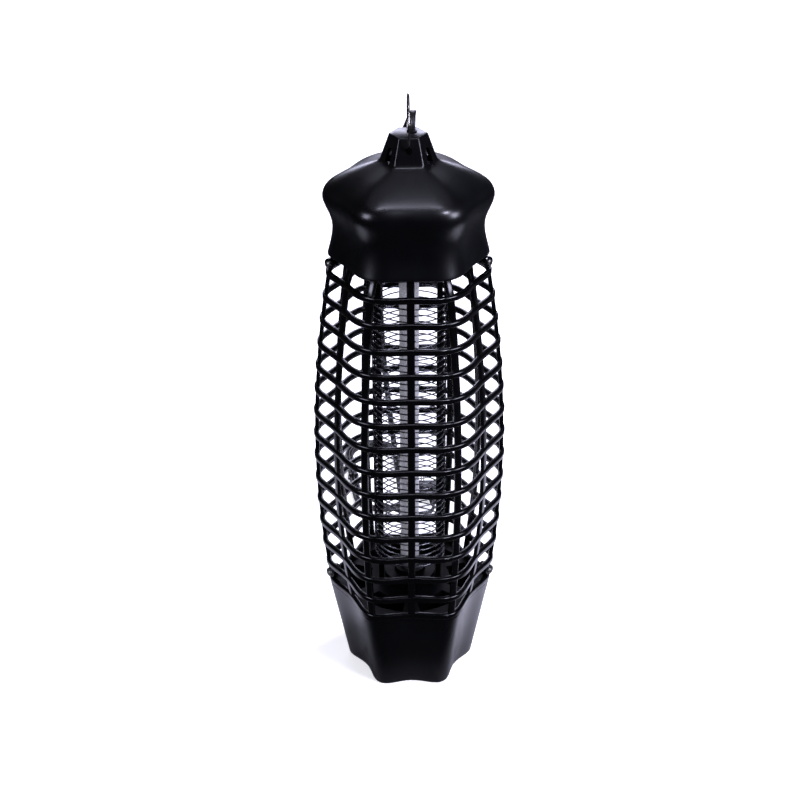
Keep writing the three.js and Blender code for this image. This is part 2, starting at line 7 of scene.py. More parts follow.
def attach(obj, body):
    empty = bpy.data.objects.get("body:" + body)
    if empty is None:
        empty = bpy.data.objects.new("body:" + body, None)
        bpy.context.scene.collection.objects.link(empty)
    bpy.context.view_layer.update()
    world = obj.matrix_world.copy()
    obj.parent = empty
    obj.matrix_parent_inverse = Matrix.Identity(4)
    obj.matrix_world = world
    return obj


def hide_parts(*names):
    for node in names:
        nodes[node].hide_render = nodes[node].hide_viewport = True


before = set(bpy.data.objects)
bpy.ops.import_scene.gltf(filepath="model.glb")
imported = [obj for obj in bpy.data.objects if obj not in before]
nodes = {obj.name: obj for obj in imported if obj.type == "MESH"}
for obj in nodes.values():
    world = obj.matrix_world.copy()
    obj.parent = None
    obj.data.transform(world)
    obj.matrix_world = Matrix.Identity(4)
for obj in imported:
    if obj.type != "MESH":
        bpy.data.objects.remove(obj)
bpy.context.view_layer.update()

mm = 0.001
print("frame loaded")


# small helpers

def hexLinear(code):
    values = [int(code[i:i + 2], 16) / 255 for i in (1, 3, 5)]
    return [v / 12.92 if v <= 0.04045 else ((v + 0.055) / 1.055) ** 2.4 for v in values] + [1.0]


# how far a value is on the way from start to end, held between 0 and 1
def blend(value, start, end):
    return min(1.0, max(0.0, (value - start) / (end - start)))


def addNode(tree, kind, values=None, links=None, **settings):
    node = tree.nodes.new(kind)
    for key, value in settings.items():
        setattr(node, key, value)
    for key, value in (values or {}).items():
        node.inputs[key].default_value = value
    for key, source in (links or {}).items():
        tree.links.new(source, node.inputs[key])
    return node


def meshObject(name, verts, faces, edges=()):
    mesh = bpy.data.meshes.new(name)
    mesh.from_pydata([Vector(v) * mm for v in verts], list(edges), faces)
    obj = bpy.data.objects.new(name, mesh)
    bpy.context.scene.collection.objects.link(obj)
    return obj


def discard(obj):
    bpy.data.objects.remove(obj, do_unlink=True)


# evaluates every modifier into a plain mesh and takes them off
def bake(obj):
    bpy.context.view_layer.update()
    evaluated = obj.evaluated_get(bpy.context.evaluated_depsgraph_get())
    mesh = bpy.data.meshes.new_from_object(evaluated)
    obj.modifiers.clear()
    obj.data = mesh


def editMesh(obj, *steps):
    bm = bmesh.new()
    bm.from_mesh(obj.data)
    for step in steps:
        step(bm)
    bm.to_mesh(obj.data)
    bm.free()


# faces out, smooth shading and sharp edges past the angle, then its look, body and the nodes it stands for
def finishPiece(obj, body, look, stands, angle=35):
    editMesh(obj, lambda bm: bmesh.ops.recalc_face_normals(bm, faces=bm.faces))
    obj.data.polygons.foreach_set("use_smooth", [True] * len(obj.data.polygons))
    obj.data.set_sharp_from_angle(angle=math.radians(angle))
    obj.data.materials.clear()
    obj.data.materials.append(materials[look])
    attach(obj, body)
    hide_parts(*stands)


def joinObjects(name, objs):
    verts, faces = [], []
    for obj in objs:
        start = len(verts)
        verts += [obj.matrix_world @ v.co / mm for v in obj.data.vertices]
        faces += [[start + i for i in p.vertices] for p in obj.data.polygons]
        discard(obj)
    return meshObject(name, verts, faces)


# faces from each loop to the next, with both ends closed
def skinLoops(name, loops):
    count = len(loops[0])
    verts = [v for loop in loops for v in loop]
    faces = []
    for low in range(0, len(verts) - count, count):
        high = low + count
        faces += [(low + i, low + (i + 1) % count, high + (i + 1) % count, high + i) for i in range(count)]
    faces += [list(range(count))[::-1], list(range(len(verts) - count, len(verts)))]
    return meshObject(name, verts, faces)


# rows of (radius, height) turned about the axis that toWorld puts in place
def turnProfile(name, rows, sides, toWorld=Matrix.Identity(4)):
    obj = skinLoops(name, [[toWorld @ Vector((x, y, z)) for x, y in roundOutline(r, sides)] for r, z in rows])
    editMesh(obj, lambda bm: bmesh.ops.remove_doubles(bm, verts=bm.verts, dist=1e-6),
             lambda bm: bmesh.ops.dissolve_degenerate(bm, edges=bm.edges, dist=1e-6))
    return obj


def cutAway(obj, *tools):
    for tool in tools:
        modifier = obj.modifiers.new("cut", "BOOLEAN")
        modifier.operation, modifier.object, modifier.solver = "DIFFERENCE", tool, "EXACT"
        bake(obj)
        discard(tool)


# materials

def startMaterial(name):
    material = bpy.data.materials.new(name)
    material.use_nodes = True
    tree = material.node_tree
    tree.nodes.clear()
    shader = addNode(tree, "ShaderNodeBsdfPrincipled")
    addNode(tree, "ShaderNodeOutputMaterial", links={"Surface": shader.outputs[0]})
    coords = addNode(tree, "ShaderNodeTexCoord").outputs["Object"]
    return material, tree, shader, coords


def setSockets(shader, sockets):
    for socket, value in sockets.items():
        shader.inputs[socket].default_value = value


driftNoise = dict(detail=3.0, colourRange=(0.35, 0.65), roughRange=(0.3, 0.7))
grainNoise = dict(detail=2.0)


# colour and roughness drift with one noise, and relief comes from another
def surfaceMaterial(name, look):
    material, tree, shader, coords = startMaterial(name)
    drift = addNode(tree, "ShaderNodeTexNoise",
                    {"Scale": 1 / (look["driftMm"] * mm), "Detail": driftNoise["detail"]},
                    {"Vector": coords}).outputs["Fac"]
    colour = addNode(tree, "ShaderNodeValToRGB", links={"Fac": drift})
    for stop, place, shade in zip(colour.color_ramp.elements, driftNoise["colourRange"], ("dark", "light")):
        stop.position = place
        stop.color = hexLinear(look[shade])
    tree.links.new(colour.outputs["Color"], shader.inputs["Base Color"])
    low, high = driftNoise["roughRange"]
    rough = addNode(tree, "ShaderNodeMapRange",
                    {"From Min": low, "From Max": high, "To Min": look["rough"][0], "To Max": look["rough"][1]},
                    {"Value": drift})
    tree.links.new(rough.outputs["Result"], shader.inputs["Roughness"])
    stretch = addNode(tree, "ShaderNodeMapping", {"Scale": look.get("stretch", (1, 1, 1))}, {"Vector": coords})
    grain = addNode(tree, "ShaderNodeTexNoise",
                    {"Scale": 1 / (look["grainMm"] * mm), "Detail": grainNoise["detail"]},
                    {"Vector": stretch.outputs["Vector"]}).outputs["Fac"]
    relief = addNode(tree, "ShaderNodeBump", {"Strength": look["relief"], "Distance": look["reliefMm"] * mm},
                     {"Height": grain})
    tree.links.new(relief.outputs["Normal"], shader.inputs["Normal"])
    setSockets(shader, look["sockets"])
    return material


materials = {name: surfaceMaterial(name, look) for name, look in {
    # moulded in a spark-eroded tool: the fine grain spreads each highlight into a soft grey sheen
    "satinAbs": dict(dark="#030305", light="#050608", rough=(0.27, 0.34), driftMm=35, grainMm=0.35,
                     relief=0.25, reliefMm=0.03, sockets={"IOR": 1.53}),
    # moulded in a polished tool: tight bright lines along the bars
    "glossAbs": dict(dark="#020203", light="#030304", rough=(0.13, 0.19), driftMm=22, grainMm=5,
                     relief=0.12, reliefMm=0.04, sockets={"IOR": 1.53}),
    # plain moulded inner parts, a little dusty, so they stay dull
    "chassisAbs": dict(dark="#020203", light="#030304", rough=(0.45, 0.6), driftMm=12, grainMm=0.8,
                       relief=0.2, reliefMm=0.03, sockets={"IOR": 1.53, "Specular IOR Level": 0.1}),
    # zinc plate over pressed steel: grey and slightly cloudy
    "zincPlate": dict(dark="#8d8d88", light="#b4b4ae", rough=(0.28, 0.42), driftMm=2, grainMm=0.3,
                      relief=0.15, reliefMm=0.01, sockets={"Metallic": 1.0}),
    # bright nickel on drawn wire: mirror-like, with faint draw marks
    "nickelWire": dict(dark="#969189", light="#b8b3ab", rough=(0.1, 0.2), driftMm=6, grainMm=0.25,
                       relief=0.1, reliefMm=0.01, sockets={"Metallic": 1.0}),
    # drawn steel wire: dark lines against the light, with white glints on the lowest turns
    "gridWire": dict(dark="#5e6064", light="#97999f", rough=(0.2, 0.3), driftMm=8, grainMm=0.3,
                     relief=0.1, reliefMm=0.01, sockets={"Metallic": 1.0}),
    # spun aluminium: pale, with a soft roughness
    "lampCap": dict(dark="#96989b", light="#b4b6b9", rough=(0.32, 0.45), driftMm=4, grainMm=0.4,
                    relief=0.2, reliefMm=0.01, stretch=(1, 1, 8), sockets={"Metallic": 1.0}),
    # plasticised PVC: nearly black with a waxy sheen
    "softPvc": dict(dark="#070707", light="#0c0c0c", rough=(0.38, 0.5), driftMm=9, grainMm=0.6,
                    relief=0.2, reliefMm=0.03, sockets={"IOR": 1.52}),
    # etched glass-fibre laminate under green lacquer
    "laminate": dict(dark="#1c4a2c", light="#2c6a40", rough=(0.25, 0.4), driftMm=3, grainMm=0.5,
                     relief=0.2, reliefMm=0.02, sockets={"IOR": 1.5}),
    # dipped epoxy coat: thick and glossy
    "epoxyDip": dict(dark="#6b1f10", light="#8a2e18", rough=(0.16, 0.28), driftMm=4, grainMm=3,
                     relief=0.3, reliefMm=0.1, sockets={"IOR": 1.55}),
    # stacked steel laminations: grey with fine lines
    "laminations": dict(dark="#3c3e42", light="#5c5f64", rough=(0.4, 0.55), driftMm=5, grainMm=0.6,
                        relief=0.5, reliefMm=0.05, stretch=(0.1, 3, 0.1), sockets={"Metallic": 1.0}),
    # enamelled copper under clear tape
    "copperWinding": dict(dark="#6e2c12", light="#a04a20", rough=(0.2, 0.35), driftMm=2, grainMm=0.5,
                          relief=0.5, reliefMm=0.1, stretch=(0.2, 0.2, 2), sockets={"Metallic": 0.6}),
    # natural nylon: milky and slightly translucent
    "nylon": dict(dark="#cfcbb8", light="#e2dfd0", rough=(0.35, 0.45), driftMm=6, grainMm=0.8,
                  relief=0.15, reliefMm=0.03, sockets={"IOR": 1.53, "Subsurface Weight": 0.15}),
}.items()}


lampLook = dict(
    # both ends fade to a grey of painted shade under the lamp caps
    ends=(95, 365), fade=0.05, coat="#f0f0f7", capShade="#9a99a4",
    speckScale=1400.0, speckRange=(0.35, 0.6), speckShade=0.55,
    # the emission strength paints a faint glow on the unlit tube
    sockets={"Emission Strength": 0.16, "Roughness": 0.35, "IOR": 1.5, "Coat Weight": 0.6, "Coat Roughness": 0.06},
)


# phosphor-coated glass: a grainy white coat under clear glass, with a painted glow from its emission though the
# tube is unlit, and painted shade in grey at both ends under the caps
def lampMaterial(look):
    material, tree, shader, coords = startMaterial("phosphorGlass")
    height = addNode(tree, "ShaderNodeSeparateXYZ", links={"Vector": coords}).outputs["Z"]
    foot, top = look["ends"]
    along = addNode(tree, "ShaderNodeMapRange", {"From Min": foot * mm, "From Max": top * mm}, {"Value": height})
    colour = addNode(tree, "ShaderNodeValToRGB", links={"Fac": along.outputs["Result"]})
    stops = colour.color_ramp.elements
    # the ramp's end stops take the grey of painted shade under the caps
    for stop in stops:
        stop.color = hexLinear(look["capShade"])
    for place in (look["fade"], 1 - look["fade"]):
        stops.new(place).color = hexLinear(look["coat"])
    speck = addNode(tree, "ShaderNodeTexNoise", {"Scale": look["speckScale"], "Detail": 1.0}, {"Vector": coords})
    low, high = look["speckRange"]
    grit = addNode(tree, "ShaderNodeMapRange", {"From Min": low, "From Max": high, "To Min": look["speckShade"]},
                   {"Value": speck.outputs["Fac"]})
    mixed = addNode(tree, "ShaderNodeMix", {"Factor": 1.0}, data_type="RGBA", blend_type="MULTIPLY")
    tree.links.new(colour.outputs["Color"], mixed.inputs[6])
    tree.links.new(grit.outputs["Result"], mixed.inputs[7])
    # the colour also feeds the emission, a painted glow
    for socket in ("Base Color", "Emission Color"):
        tree.links.new(mixed.outputs[2], shader.inputs[socket])
    setSockets(shader, look["sockets"])
    return material


materials["phosphorGlass"] = lampMaterial(lampLook)
print("materials ready")


# camera

cameraLook = dict(place=(-0.0244, -1.0745, 0.848), target=(0, 0, 0.252), lens=68.6, roll=-0.2, shift=-0.0116)
camera = bpy.data.objects.new("camera", bpy.data.cameras.new("camera"))
bpy.context.scene.collection.objects.link(camera)
direction = Vector(cameraLook["target"]) - Vector(cameraLook["place"])
turned = direction.to_track_quat("-Z", "Y").to_matrix() @ Matrix.Rotation(math.radians(cameraLook["roll"]), 3, "Z")
camera.matrix_world = Matrix.Translation(cameraLook["place"]) @ turned.to_4x4()
camera.data.lens = cameraLook["lens"]
camera.data.shift_x = cameraLook["shift"]
bpy.context.scene.camera = camera
print("camera placed")


# sweeping a section along a path

# every group has named inputs and ends as one coloured mesh
def startTree(name, **inputs):
    tree = bpy.data.node_groups.new(name, "GeometryNodeTree")
    for label, kind in inputs.items():
        tree.interface.new_socket(label, in_out="INPUT", socket_type="NodeSocket" + kind)
    tree.interface.new_socket("Geometry", in_out="OUTPUT", socket_type="NodeSocketGeometry")
    return tree, addNode(tree, "NodeGroupInput")


def endTree(tree, given, geometry):
    real = addNode(tree, "GeometryNodeRealizeInstances", links={"Geometry": geometry})
    coloured = addNode(tree, "GeometryNodeSetMaterial",
                       links={"Geometry": real.outputs["Geometry"], "Material": given.outputs["Material"]})
    addNode(tree, "NodeGroupOutput", links={"Geometry": coloured.outputs["Geometry"]})
    return tree


# the path's vertices carry the direction of the section's wide side
def buildSweepTree():
    tree, given = startTree("sweepSection", Geometry="Geometry", Section="Object", Material="Material")
    wide = addNode(tree, "GeometryNodeInputNamedAttribute", {"Name": "wide"}, data_type="FLOAT_VECTOR")
    path = addNode(tree, "GeometryNodeMeshToCurve", links={"Mesh": given.outputs["Geometry"]})
    aimed = addNode(tree, "GeometryNodeSetCurveNormal",
                    links={"Curve": path.outputs["Curve"], "Normal": wide.outputs["Attribute"]}, mode="FREE")
    section = addNode(tree, "GeometryNodeObjectInfo", links={"Object": given.outputs["Section"]})
    outline = addNode(tree, "GeometryNodeMeshToCurve", links={"Mesh": section.outputs["Geometry"]})
    swept = addNode(tree, "GeometryNodeCurveToMesh", {"Fill Caps": True},
                    {"Curve": aimed.outputs["Curve"], "Profile Curve": outline.outputs["Curve"]})
    return endTree(tree, given, swept.outputs["Mesh"])


sweepTree = buildSweepTree()


def runTree(obj, tree, inputs):
    modifier = obj.modifiers.new("nodes", "NODES")
    modifier.node_group = tree
    sockets = {s.name: s.identifier for s in tree.interface.items_tree if s.in_out == "INPUT"}
    for name, value in inputs.items():
        modifier[sockets[name]] = value
    bake(obj)


# paths: lists of points in mm; wides: the wide direction at each point, or one for all
def sweep(name, paths, wides, outline, look):
    verts, edges, sides = [], [], []
    for path, wide in zip(paths, wides):
        start = len(verts)
        path = [Vector(p) for p in path]
        for i in range(len(path)):
            tangent = (path[min(i + 1, len(path) - 1)] - path[max(i - 1, 0)]).normalized()
            side = Vector(wide[i] if hasattr(wide[0], "__len__") else wide)
            sides.append((side - tangent * side.dot(tangent)).normalized())
        verts += path
        edges += [(i, i + 1) for i in range(start, len(verts) - 1)]
    obj = meshObject(name, verts, [], edges)
    layer = obj.data.attributes.new("wide", "FLOAT_VECTOR", "POINT")
    layer.data.foreach_set("vector", [x for side in sides for x in side])
    ring = [(i, (i + 1) % len(outline)) for i in range(len(outline))]
    section = meshObject("section", [(x, y, 0) for x, y in outline], [], ring)
    runTree(obj, sweepTree, {"Section": section, "Material": materials[look]})
    discard(section)
    return obj


def roundOutline(radius, sides):
    return [(radius * math.cos(2 * math.pi * i / sides), radius * math.sin(2 * math.pi * i / sides))
            for i in range(sides)]


def barOutline(wide, thick, corner, steps=3):
    points = []
    for quarter, (sx, sy) in enumerate([(1, 1), (-1, 1), (-1, -1), (1, -1)]):
        for i in range(steps + 1):
            angle = math.radians(90 * (quarter + i / steps))
            points.append((sx * (wide / 2 - corner) + corner * math.cos(angle),
                           sy * (thick / 2 - corner) + corner * math.sin(angle)))
    return points


# two round cores side by side with a shallow groove between them
def twinOutline(width, thick, wrap=128, steps=7):
    points = []
    core = thick / 2
    offset = width / 2 - core
    for sign in (1, -1):
        for i in range(steps + 1):
            angle = math.radians(-wrap + 2 * wrap * i / steps)
            points.append((sign * (offset + core * math.cos(angle)), sign * core * math.sin(angle)))
    return points


# smooth curve through the points, resampled to even steps
def smoothPath(points, step, between=12):
    points = [Vector(p) for p in points]
    padded = [2 * points[0] - points[1]] + points + [2 * points[-1] - points[-2]]
    fine = []
    for i in range(1, len(padded) - 2):
        a, b, c, d = padded[i - 1:i + 3]
        ta = 0.0
        tb = ta + max((b - a).length, 1e-6) ** 0.5
        tc = tb + max((c - b).length, 1e-6) ** 0.5
        td = tc + max((d - c).length, 1e-6) ** 0.5
        for j in range(between):
            t = tb + (tc - tb) * j / between
            ab = a * ((tb - t) / (tb - ta)) + b * ((t - ta) / (tb - ta))
            bc = b * ((tc - t) / (tc - tb)) + c * ((t - tb) / (tc - tb))
            cd = c * ((td - t) / (td - tc)) + d * ((t - tc) / (td - tc))
            abc = ab * ((tc - t) / (tc - ta)) + bc * ((t - ta) / (tc - ta))
            bcd = bc * ((td - t) / (td - tb)) + cd * ((t - tb) / (td - tb))
            fine.append(abc * ((tc - t) / (tc - tb)) + bcd * ((t - tb) / (tc - tb)))
    fine.append(points[-1])
    lengths = [0.0]
    for a, b in zip(fine, fine[1:]):
        lengths.append(lengths[-1] + (b - a).length)
    count = max(2, round(lengths[-1] / step))
    result, k = [], 0
    for i in range(count + 1):
        goal = lengths[-1] * i / count
        while k < len(fine) - 2 and lengths[k + 1] < goal:
            k += 1
        span = lengths[k + 1] - lengths[k]
        result.append(fine[k].lerp(fine[k + 1], (goal - lengths[k]) / span if span else 0))
    return result


def pathLength(points):
    return sum((Vector(b) - Vector(a)).length for a, b in zip(points, points[1:]))


# mains lead: out of the boss, over the roof, down to the floor and into the hank behind

lead = dict(
    width=5.2, thick=2.8, step=2.2,
    drop=[
        (2.8, 4, 477.2), (2.8, 4.2, 479.8), (3, 6.4, 483.6), (3.3, 11.5, 486.4), (3.9, 17, 486.8),
        (3.9, 22.8, 484.6), (2.2, 28.3, 479), (-0.6, 32.6, 470.6), (-3.8, 37.8, 461.5), (-7.2, 44.6, 453.2),
        (-10.5, 52, 446.6), (-13, 59, 439.6), (-15.2, 64.2, 430), (-17.5, 68.5, 410), (-20, 77, 375),
        (-22, 88, 330), (-22.3, 96.5, 290), (-20, 103.5, 240), (-15.5, 109.5, 185), (-10.5, 114.5, 135),
        (-6, 120.5, 90), (-2.5, 129, 50), (0, 141, 20), (2.5, 157, 5.4), (5, 175, 2.9), (7.5, 195, 2.9),
        (8.8, 215, 2.9), (8.2, 235.4, 2.9),
    ],
    tail=[
        (-14.4, 217.8, 7.9), (-7.4, 211.6, 8.1), (-0.2, 206.6, 8.5), (8.6, 203.8, 8.9), (19, 205.5, 7.6),
        (26.5, 211.5, 6.9), (29, 218.5, 6.9), (29, 225.6, 6.9),
    ],
    # on edge on the floor, flat to the rear while it hangs, and square to the boss at the top
    edgeDown=(60, 10), squareUp=(440, 470), lying=(0, 0, 1), hanging=(0.9, -0.25, 0.1), leaving=(1, 0.1, 0),
)
hank = dict(
    centre=(-27, 288), turn=0.12, turns=3, height=2.95, half=40, radius=28.4, pitch=3.0, bend=8,
    outRun=(-30, -10, 10, 30), backRun=(25, 5, -15),
    over=[(-21.8, -30, 4.4), (-19, -43, 7.8), (-12.5, -55, 8.9), (-4, -64.5, 8.4)],
)


# a point given across and along the hank, and by its height
def hankPoint(u, v, z):
    cos, sin = math.cos(hank["turn"]), math.sin(hank["turn"])
    x, y = hank["centre"]
    return Vector((x + u * cos - v * sin, y + u * sin + v * cos, z))


# racetrack turns, each inside the last, then up and over them at the near end
def hankPath():
    points, bend = [], hank["bend"]
    for turn in range(hank["turns"]):
        radius = hank["radius"] - hank["pitch"] * turn
        points += [(radius, v) for v in hank["outRun"]]
        for i in range(bend + 1):
            angle = math.pi * i / bend
            points.append((radius * math.cos(angle), hank["half"] + radius * math.sin(angle)))
        points += [(-radius, v) for v in hank["backRun"]]
        if turn + 1 == hank["turns"]:
            break
        for i in range(bend + 1):
            angle = math.pi * (1 + i / bend)
            near = radius - hank["pitch"] * i / bend
            points.append((near * math.cos(angle), -hank["half"] + near * math.sin(angle)))
    return [hankPoint(u, v, hank["height"]) for u, v in points] + [hankPoint(*p) for p in hank["over"]]


leadPath = smoothPath(lead["drop"] + hankPath() + lead["tail"], lead["step"])


def leadSide(point):
    hanging = Vector(lead["hanging"]).lerp(Vector(lead["leaving"]), blend(point.z, *lead["squareUp"]))
    return hanging.lerp(Vector(lead["lying"]), blend(point.z, *lead["edgeDown"]))


powerLead = sweep("power_lead", [leadPath], [[leadSide(p) for p in leadPath]],
                  twinOutline(lead["width"], lead["thick"]), "softPvc")
finishPiece(powerLead, "housing", "softPvc", ["power_cord", "cord_hank", "cord_tail"], 50)
print("lead", round(pathLength(leadPath)), "mm")

# plastic-coated wire tie round the hank's left run, its ends twisted together
tie = dict(
    wide=3.4, thick=0.7, corner=0.3,
    loop=[(-30.9, 0, 3), (-30.4, 0, 5.6), (-28.5, 0.1, 6.4), (-25, 0.2, 6.6), (-21.5, 0.1, 6.2),
          (-20.4, 0, 4.4), (-20.4, 0, 2), (-22, 0, 0.75), (-29, 0, 0.75), (-30.9, 0, 1.2), (-30.9, 0, 3)],
    twistAt=(-26, -1, 6.9), twistSize=(0.7, 0.6), twistPitch=1.5, twistTurn=0.5, twistPoints=12, strand=0.75,
    step=1.0, twistStep=0.6,
)


# one of the two twisted ends, on the side given by -1 or 1
def tieStrand(side):
    u, v, z = tie["twistAt"]
    across, up = tie["twistSize"]
    turns = [i * tie["twistTurn"] for i in range(tie["twistPoints"])]
    return smoothPath([hankPoint(u + side * across * math.cos(a), v + tie["twistPitch"] * a,
                                 z - side * up * math.sin(a)) for a in turns], tie["twistStep"])


tieBand = sweep("tie_band", [smoothPath([hankPoint(*p) for p in tie["loop"]], tie["step"])], [(0, 1, 0)],
                barOutline(tie["wide"], tie["thick"], tie["corner"], 2), "softPvc")
tieTwist = sweep("tie_twist", [tieStrand(side) for side in (-1, 1)], [(0, 0, 1)] * 2,
                 roundOutline(tie["strand"], 8), "softPvc")
hankTie = joinObjects("wire_tie", [tieBand, tieTwist])
finishPiece(hankTie, "housing", "softPvc", ["hank_tie"])

# plug: two-pin, moulded on the lead; rows of (distance along, width, thickness, squareness)
plug = dict(
    x=29, y=226, z=6.9, sides=28,
    rows=[(0.05, 6.6, 4.6, 1), (0.6, 7.2, 5.2, 1), (2.2, 7.3, 5.3, 1), (2.5, 6.2, 4.4, 1), (3.6, 6.2, 4.4, 1),
          (3.9, 7.7, 5.7, 1), (5.6, 7.9, 5.9, 1), (5.9, 6.8, 5, 1), (7, 6.9, 5.1, 1), (7.3, 8.6, 6.6, 1),
          (9.5, 10.5, 7.6, 0.9), (12, 15.5, 9.4, 0.75), (14.5, 22.5, 11, 0.6), (17.5, 29.5, 12.7, 0.5),
          (20.5, 32.8, 13.3, 0.42), (24, 33.6, 13.5, 0.4), (31, 33.4, 13.3, 0.4), (33.3, 33, 12.9, 0.4),
          (34, 31.8, 11.8, 0.42)],
    pinOffset=9.5, pinSides=24, pin=[(0, 34.2), (2, 34.2), (2, 52), (1.7, 52.9), (1, 53.25), (0, 53.3)],
)


def plugLoop(y, width, thick, squareness):
    points = []
    for i in range(plug["sides"]):
        angle = 2 * math.pi * i / plug["sides"]
        c, s = math.cos(angle), math.sin(angle)
        points.append((plug["x"] + width / 2 * math.copysign(abs(c) ** squareness, c), plug["y"] + y,
                       plug["z"] + thick / 2 * math.copysign(abs(s) ** squareness, s)))
    return points


plugBody = skinLoops("plug_moulding", [plugLoop(*row) for row in plug["rows"]])
finishPiece(plugBody, "housing", "softPvc", ["plug_body"], 40)

for name, hand in (("left", -1), ("right", 1)):
    outwards = (Matrix.Translation((plug["x"] + hand * plug["pinOffset"], plug["y"], plug["z"]))
                @ Matrix.Rotation(-math.pi / 2, 4, "X"))
    pin = turnProfile("contact_pin_" + name, plug["pin"], plug["pinSides"], outwards)
    finishPiece(pin, "housing", "nickelWire", ["plug_pin_" + name])

print("lead, tie and plug made")


# the rounded hexagon that cap, cage and tray share

def heading(angle):
    return Vector((math.cos(angle), math.sin(angle)))


# the corners at left and right keep their own radius; front rounds the other four
def hexPlan(r, corner, hollow, side=10, arc=8, front=None):
    apothem = (r - corner) * math.cos(math.pi / 6) + corner
    radii = [corner if face % 3 == 1 else front or corner for face in range(6)]
    points = []
    for face in range(6):
        facing = math.radians(60 * face - 90)
        normal, along = heading(facing), Vector((-math.sin(facing), math.cos(facing)))
        halves = [(apothem - radius) / math.sqrt(3) for radius in (radii[face - 1], radii[face])]
        for i in range(side + 1):
            t = -1 + 2 * i / side
            points.append(normal * (apothem - hollow * (1 - t * t) ** 2) + along * (t * halves[t > 0]))
        radius = radii[face]
        centre = heading(facing + math.pi / 6) * (apothem - radius) / math.cos(math.pi / 6)
        points += [centre + heading(facing + math.pi / 3 * i / arc) * radius for i in range(1, arc)]
    return points


def hexLoop(z, r, corner, hollow):
    return [(p.x, p.y, z) for p in hexPlan(r, corner, hollow)]


# rows of (z, r, corner, hollow) made smooth between the given ones
def denseRows(rows, steps):
    result = []
    for i in range(len(rows) - 1):
        a, b, c, d = (rows[max(0, i - 1)], rows[i], rows[i + 1], rows[min(len(rows) - 1, i + 2)])
        for j in range(steps):
            t = j / steps
            result.append([0.5 * (2 * q + (r - p) * t + (2 * p - 5 * q + 4 * r - s) * t * t
                                  + (3 * q - p - 3 * r + s) * t ** 3) for p, q, r, s in zip(a, b, c, d)])
    return result + [rows[-1]]


# collecting tray: rows of (height in the flare, distance in from the outside, height drawn if it differs)

tray = dict(
    top=77.2, foot=(53.4, 11, 3.8), rim=(68.3, 14.5, 2.5), wall=2.2,
    underside=[(3, 6, 0.5), (2, 3.2, 0.5), (0, 2.2), (0, 1.2), (0.3, 0.5, 0.25), (0.8, 0.12)],
    outside=[1.6, 8, 20, 34, 48, 62, 72, 75.4, 76.5],
    lip=[(77, 0.25), (77.2, 0.8), (77.2, 1.5), (76.9, 2.0)],
    inside=[76, 60, 40, 20, 6],
    well=[(3.4, 3.4), (3, 6)],
)


def trayLoop(z, inwards=0.0, drawn=None):
    t = z / tray["top"]
    r, corner, hollow = (a + (b - a) * t for a, b in zip(tray["foot"], tray["rim"]))
    return hexLoop(z if drawn is None else drawn, r - inwards, corner - inwards, hollow)


trayRows = (tray["underside"] + [(z,) for z in tray["outside"]] + tray["lip"]
            + [(z, tray["wall"]) for z in tray["inside"]] + tray["well"])
trayCup = skinLoops("tray_cup", [trayLoop(*row) for row in trayRows])
finishPiece(trayCup, "tray", "satinAbs", ["collecting_tray"], 40)
print("tray made")

# cage: rings and ribs in two halves that part at the left and right corners

cage = dict(
    foot=77.5, top=386.0, topR=57.6, tuck=(370, 383), bellyZ=203.7, bellyR=78.0,
    bow=(6.1e-4, 5.3e-4), cornerLoss=(10.5, 4), frontLoss=(23, 8),  # below and above the belly
    corner=26, front=41, slimOver=10, hollow=2.3, hollowLoss=1.5, hollowOver=90,
    wall=4.4, ring=4.8, ringCorner=1.25, ringSteps=14, rings=15, ringPitch=21.4, ringClose=0.0551,
    band=6.4, bandCorner=0.6, bandZ=382.8,
    rib=5.9, ribCorner=1.1, ribInset=0.55, ribEnd=0.4, ribSteps=52, seamCorner=0.7, gap=0.15,
)


def cagePair(key, z):
    return cage[key][0 if z < cage["bellyZ"] else 1]


def cageBow(z):
    return cage["bellyR"] - cagePair("bow", z) * (z - cage["bellyZ"]) ** 2


def cageRadius(z):
    natural = cageBow(z)
    return natural + (cage["topR"] - natural) * blend(z, *cage["tuck"])


def cageSlim(z):
    return blend(cageRadius(z), cage["bellyR"], cage["bellyR"] - cage["slimOver"])


def cagePlan(z, inwards):
    corner = cage["corner"] - cagePair("cornerLoss", z) * cageSlim(z)
    hollow = cage["hollow"] - cage["hollowLoss"] * blend(z, cage["foot"], cage["foot"] + cage["hollowOver"])
    return cageRadius(z) - inwards, corner - inwards, hollow


# the front and rear corners are rounder than those at the sides
def cageFront(z, inwards):
    return cage["front"] - cagePair("frontLoss", z) * cageSlim(z) - inwards


def ringHeight(k):
    return cage["foot"] + cage["ringPitch"] * k - cage["ringClose"] * k * k


# half a ring from corner to corner, side -1 in front and 1 behind
def halfRing(z, inwards, side):
    r, corner, hollow = cagePlan(z, inwards)
    plan = hexPlan(r, corner, hollow, cage["ringSteps"], cage["ringSteps"], cageFront(z, inwards))
    plan = sorted((p for p in plan if p.y * side > cage["gap"]), key=lambda p: math.atan2(p.y, p.x) * side)
    return [(r, side * cage["gap"], z)] + [(p.x, p.y, z) for p in plan] + [(-r, side * cage["gap"], z)]


# up a corner or the middle of a face; at the sides each half has half a rib, beside the parting
def ribPath(facing, inwards, side=0):
    points = []
    foot = cage["foot"] + cage["ribEnd"]
    for i in range(cage["ribSteps"] + 1):
        z = foot + (cage["top"] - cage["ribEnd"] - foot) * i / cage["ribSteps"]
        r, corner, hollow = cagePlan(z, inwards)
        apothem = (r - corner) * math.cos(math.pi / 6) + corner
        front = cageFront(z, inwards)
        if facing % 180 == 0:
            reach = r
        elif facing % 60 == 0:
            reach = (apothem - front) / math.cos(math.pi / 6) + front
        else:
            reach = apothem - hollow
        offset = side * (cage["rib"] / 4 + cage["gap"])
        angle = math.radians(facing)
        points.append((reach * math.cos(angle), reach * math.sin(angle) + offset, z))
    return points


